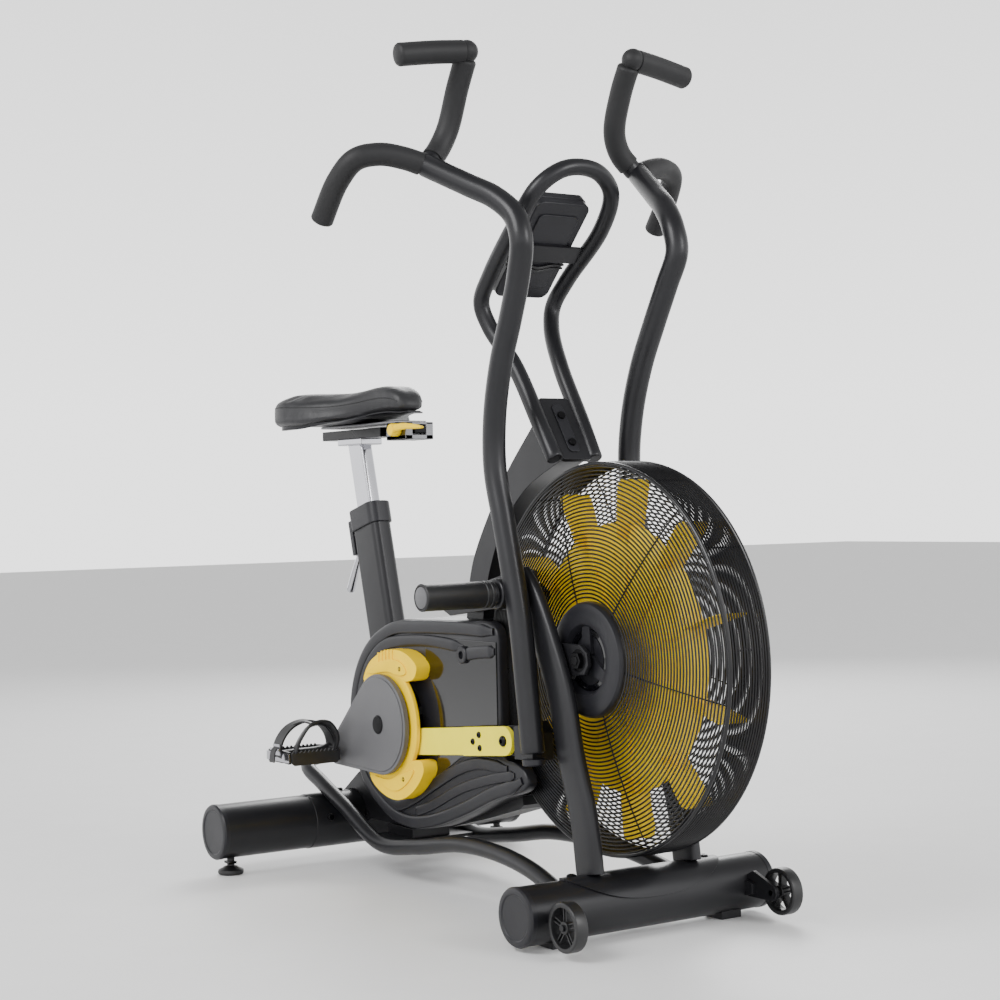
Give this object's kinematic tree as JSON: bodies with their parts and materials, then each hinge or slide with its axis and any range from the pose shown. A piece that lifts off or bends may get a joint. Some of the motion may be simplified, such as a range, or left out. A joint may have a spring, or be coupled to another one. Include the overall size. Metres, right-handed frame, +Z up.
{
  "type": "air bike",
  "caption": "Fan-resistance exercise bike with swinging handlebars, caged front fan, crank housing, adjustable saddle and console mast.",
  "frame": {"origin": "middle of the bounding box in X and Y, at floor level", "axes": "+X forward to the fan, +Y to the rider's left, +Z up"},
  "size_m": [1.282, 0.6944, 1.436],
  "materials": {
    "frame_paint": "satin charcoal paint",
    "cage_paint": "black powder coat",
    "fan_yellow": "satin yellow",
    "rod_paint": "satin yellow",
    "yellow_plastic": "satin yellow",
    "dark_plastic": "fine-grained",
    "pedal_plastic": "satin",
    "wheel_plastic": "satin",
    "grey_cover": "satin",
    "gloss_black": "polished",
    "black_rubber": "matte",
    "steel": "brushed",
    "chrome": "polished",
    "saddle_cover": "matte synthetic cover"
  },
  "bodies": {
    "frame": {"main_spine": "frame_paint", "lower_frame": "frame_paint", "strut_right": "frame_paint", "strut_left": "frame_paint", "front_stabilizer": "frame_paint", "saddle_plate": "frame_paint", "rear_stabilizer": "frame_paint", "leveller_foot_right": "black_rubber", "leveller_foot_left": "black_rubber", "base_rail": "frame_paint", "seat_tube": "frame_paint", "seat_collar": "frame_paint", "housing_right": "dark_plastic", "housing_left": "dark_plastic", "side_panel_right": "gloss_black", "side_panel_left": "gloss_black", "drive_belt": "black_rubber", "crank_guard_right": "yellow_plastic", "crank_guard_left": "yellow_plastic", "pivot_shaft_right": "steel", "pivot_shaft_left": "steel", "foot_peg_right": "black_rubber", "foot_peg_left": "black_rubber", "console_mast": "frame_paint", "console_case": "dark_plastic", "console_screen": "gloss_black", "fan_axle": "steel", "cage_grille_right": "cage_paint", "cage_grille_left": "cage_paint", "cage_rim": "cage_paint", "hub_plate_right": "dark_plastic", "hub_plate_left": "dark_plastic"},
    "fan": {"fan_wheel": "fan_yellow"},
    "crank": {"crank_axle": "steel", "crank_arm_right": "grey_cover", "crank_arm_left": "grey_cover", "drive_pulley": "steel"},
    "pedal_right": {"pedal_right": "pedal_plastic"},
    "pedal_left": {"pedal_left": "pedal_plastic"},
    "arm_right": {"arm_right": "frame_paint", "drop_grip_right": "black_rubber", "upright_grip_right": "black_rubber", "cross_grip_right": "black_rubber"},
    "arm_left": {"arm_left": "frame_paint", "drop_grip_left": "black_rubber", "upright_grip_left": "black_rubber", "cross_grip_left": "black_rubber"},
    "rod_right": {"link_rod_right": "rod_paint", "eccentric_pin_right": "steel"},
    "rod_left": {"link_rod_left": "rod_paint", "eccentric_pin_left": "steel"},
    "post": {"seat_post": "chrome"},
    "carriage": {"seat_carriage": "steel", "saddle": "saddle_cover"},
    "slider_lever": {"slider_lever": "yellow_plastic"},
    "clamp_lever": {"clamp_lever": "chrome"},
    "button_right": {"console_button_right": "dark_plastic"},
    "button_left": {"console_button_left": "dark_plastic"},
    "wheel_right": {"transport_wheel_right": "wheel_plastic"},
    "wheel_left": {"transport_wheel_left": "wheel_plastic"}
  },
  "joints": [
    {"name": "fan_spin", "type": "hinge", "parent": "frame", "child": "fan", "pos_m": [0.328, 0, 0.427], "axis": [0, 1, 0], "continuous": true},
    {"name": "crank_spin", "type": "hinge", "parent": "frame", "child": "crank", "pos_m": [-0.234, 0, 0.284], "axis": [0, 1, 0], "continuous": true},
    {"name": "pedal_spin_right", "type": "hinge", "parent": "crank", "child": "pedal_right", "pos_m": [-0.39738, -0.184, 0.22129], "axis": [0, 1, 0], "continuous": true},
    {"name": "pedal_spin_left", "type": "hinge", "parent": "crank", "child": "pedal_left", "pos_m": [-0.07062, 0.184, 0.34671], "axis": [0, 1, 0], "continuous": true},
    {"name": "arm_swing_right", "type": "hinge", "parent": "frame", "child": "arm_right", "pos_m": [0.191, -0.13, 0.53], "axis": [0, 1, 0], "range_deg": [-5.5, 10.5]},
    {"name": "arm_swing_left", "type": "hinge", "parent": "frame", "child": "arm_left", "pos_m": [0.191, 0.13, 0.53], "axis": [0, 1, 0], "range_deg": [-10.5, 5.5]},
    {"name": "rod_pivot_right", "type": "hinge", "parent": "arm_right", "child": "rod_right", "pos_m": [0.13762, -0.09, 0.28544], "axis": [0, 1, 0], "range_deg": [-10.5, 5.5]},
    {"name": "rod_pivot_left", "type": "hinge", "parent": "arm_left", "child": "rod_left", "pos_m": [0.1165, 0.09, 0.29102], "axis": [0, 1, 0], "range_deg": [-5.5, 10.5]},
    {"name": "seat_height", "type": "slide", "parent": "frame", "child": "post", "axis": [-0.2504, 0, 0.9681], "range_m": [-0.1, 0.12]},
    {"name": "seat_fore_aft", "type": "slide", "parent": "post", "child": "carriage", "axis": [1, 0, 0], "range_m": [-0.03, 0.03]},
    {"name": "slider_lever_turn", "type": "hinge", "parent": "carriage", "child": "slider_lever", "pos_m": [-0.297, -0.04, 0.816], "axis": [0, 1, 0], "range_deg": [0, 40]},
    {"name": "clamp_lever_turn", "type": "hinge", "parent": "frame", "child": "clamp_lever", "pos_m": [-0.5007, 0, 0.6021], "axis": [0, 1, 0], "range_deg": [0, 60]},
    {"name": "wheel_spin_right", "type": "hinge", "parent": "frame", "child": "wheel_right", "pos_m": [0.462, -0.21, 0.05], "axis": [0, 1, 0], "continuous": true},
    {"name": "wheel_spin_left", "type": "hinge", "parent": "frame", "child": "wheel_left", "pos_m": [0.462, 0.21, 0.05], "axis": [0, 1, 0], "continuous": true},
    {"name": "button_press_right", "type": "slide", "parent": "frame", "child": "button_right", "axis": [0.7071, 0, -0.7071], "range_m": [0, 0.003], "stiffness_N_per_m": 300, "springref_m": -0.001},
    {"name": "button_press_left", "type": "slide", "parent": "frame", "child": "button_left", "axis": [0.7071, 0, -0.7071], "range_m": [0, 0.003], "stiffness_N_per_m": 300, "springref_m": -0.001}
  ],
  "couplings": [
    {"joint": "fan_spin", "follows": "crank_spin", "ratio": 4.4546},
    {"joint": "arm_swing_left", "follows": "arm_swing_right", "ratio": -1},
    {"joint": "rod_pivot_right", "follows": "arm_swing_right", "ratio": -1},
    {"joint": "rod_pivot_left", "follows": "arm_swing_right", "ratio": 1}
  ]
}
